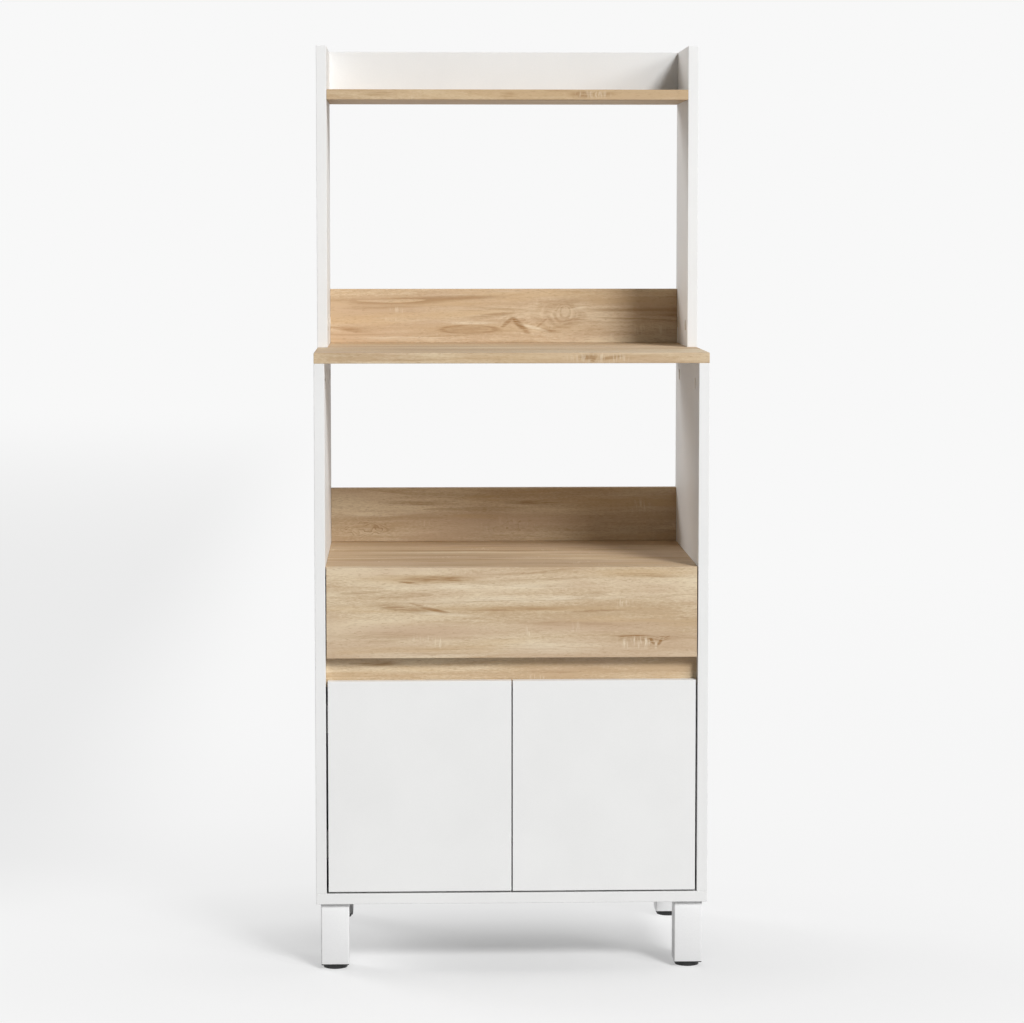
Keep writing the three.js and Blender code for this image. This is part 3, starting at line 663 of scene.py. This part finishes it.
for row in ["lower", "upper"]:
    for place in ["front", "rear"]:
        for side, inward in [("left", 1), ("right", -1)]:
            addCover(f"cam_cover_{row}_{place}_{side}", inward)
print("cam covers")

# The floor fades into the same pale tone that the world shows, so there is no horizon
stage = {
    "radius": 40.0, "segments": 96,
    "paint": tone(240, 240, 240),  # what the camera and the reflections see of the lit floor
    "returned": tone(192, 192, 192),  # what colours the light that it throws back
    "pale": tone(248, 248, 248),
    # reach from the shaded patch's middle, and how pale the floor is there
    "paleShare": [(0.0, 0.16), (0.06, 0.2), (0.2, 0.52), (0.36, 0.76), (0.6, 0.88), (1.2, 0.94), (3.0, 0.98),
                  (5.0, 1.0)],
    "patch": (0.6, 0.14),  # X is squeezed and Y is moved before the reach is taken
    "paintedShadow": tone(235, 235, 235),  # painted shadow: the floor is a little greyer to the left behind the cabinet, standing in for the cabinet's soft shadow there
    "paintedShadowSide": (-0.5, -1.05), "paintedShadowFarSide": (-4.6, -2.2),  # X where it starts to show and shows fully
    "paintedShadowStart": (-0.05, 0.7), "paintedShadowEnd": (14.0, 4.0),  # Y where it starts to show and shows fully
    "worldLight": 0.1,
}


def seenRays(tree):  # 1 for what the camera sees, straight on, mirrored or through something clear
    rays = addNode(tree, "LightPath").outputs
    indirect = calc(tree, "MAXIMUM", rays["Is Glossy Ray"], rays["Is Transmission Ray"])
    return calc(tree, "MAXIMUM", rays["Is Camera Ray"], indirect)


def addFloor():
    shape = bmesh.new()
    bmesh.ops.create_circle(shape, cap_ends=True, segments=stage["segments"], radius=stage["radius"])
    material = bpy.data.materials.new("studio_floor")
    material.use_nodes = True
    tree = material.node_tree
    tree.nodes.remove(tree.nodes["Principled BSDF"])
    place = addNode(tree, "TexCoord").outputs["Object"]
    x, y = addNode(tree, "SeparateXYZ", {0: place}).outputs[:2]
    squeeze, move = stage["patch"]
    near = combine(tree, calc(tree, "MULTIPLY", x, squeeze), calc(tree, "ADD", y, move), 0.0)
    reach = addNode(tree, "VectorMath", {0: near}, operation="LENGTH").outputs["Value"]
    farthest = stage["paleShare"][-1][0]
    stops = [(distance / farthest, (share, share, share, 1)) for distance, share in stage["paleShare"]]
    share = rampOf(tree, calc(tree, "DIVIDE", reach, farthest), stops)
    seen = seenRays(tree)
    paint = mixTones(tree, seen, stage["returned"], stage["paint"])
    lit = addNode(tree, "BsdfDiffuse", {"Color": paint}).outputs[0]
    # painted shadow: the pale tone turns greyer to the left behind the cabinet
    paintedShadow = fade(tree, x, *stage["paintedShadowSide"])
    for value, window in [(y, "paintedShadowStart"), (x, "paintedShadowFarSide"), (y, "paintedShadowEnd")]:
        paintedShadow = calc(tree, "MULTIPLY", paintedShadow, fade(tree, value, *stage[window]))
    pale = addNode(tree, "Emission", {"Color": mixTones(tree, paintedShadow, stage["pale"], stage["paintedShadow"])}).outputs[0]
    mixed = addNode(tree, "MixShader", {0: calc(tree, "MULTIPLY", share, seen), 1: lit, 2: pale}).outputs[0]
    feed(tree, tree.nodes["Material Output"].inputs["Surface"], mixed)
    floor = keep(shape, "studio_floor", [material], smooth=False)


def addWorld():
    world = bpy.data.worlds.new("studio")
    bpy.context.scene.world = world
    world.use_nodes = True
    tree = world.node_tree
    glow = tree.nodes["Background"]
    glow.inputs["Color"].default_value = (1.0, 1.0, 1.0, 1.0)
    glow.inputs["Strength"].default_value = stage["worldLight"]
    pale = addNode(tree, "Background", {"Color": stage["pale"], "Strength": 1.0})
    mixed = addNode(tree, "MixShader", {0: seenRays(tree), 1: glow.outputs[0], 2: pale.outputs[0]}).outputs[0]
    feed(tree, tree.nodes["World Output"].inputs["Surface"], mixed)


lamps = {
    "key_lamp": {"direction": (0.54, -1.0, 0.82), "distance": 20.0, "size": 5.3, "power": 3040},
    "side_lamp": {"direction": (1.0, -0.95, 0.5), "distance": 14.0, "size": 3.8, "power": 470},
    "back_lamp": {"direction": (-1.0, 0.8, 0.55), "distance": 6.0, "size": 2.6, "power": 120},
}
lampAim = Vector((0, 0, 0.75))


def addLamp(name, direction, distance, size, power):
    light = bpy.data.lights.new(name, "AREA")
    light.shape = "DISK"
    light.size = size
    light.energy = power
    lamp = bpy.data.objects.new(name, light)
    bpy.context.scene.collection.objects.link(lamp)
    away = Vector(direction).normalized()
    lamp.location = lampAim + away * distance
    lamp.rotation_euler = away.to_track_quat("Z", "Y").to_euler()
    lamp.visible_camera = False


addFloor()
addWorld()
for name, settings in lamps.items():
    addLamp(name, **settings)
print("floor, world and lamps")

# The photograph's viewing angle: from the front, a little left of the middle, level with the upper bay
viewpoint = {"place": (-0.16, -4.8, 1.146), "pitch": 4.49, "yaw": 1.99, "lens": 107.0, "sensorWidth": 36,
             "shiftY": -0.05}
cameraData = bpy.data.cameras.new("viewpoint")
cameraData.sensor_width = viewpoint["sensorWidth"]
cameraData.lens = viewpoint["lens"]
cameraData.shift_y = viewpoint["shiftY"]
camera = bpy.data.objects.new("viewpoint", cameraData)
bpy.context.scene.collection.objects.link(camera)
camera.location = viewpoint["place"]
camera.rotation_euler = (math.radians(90 - viewpoint["pitch"]), 0, math.radians(-viewpoint["yaw"]))
bpy.context.scene.camera = camera
bpy.context.scene.view_settings.view_transform = "Standard"
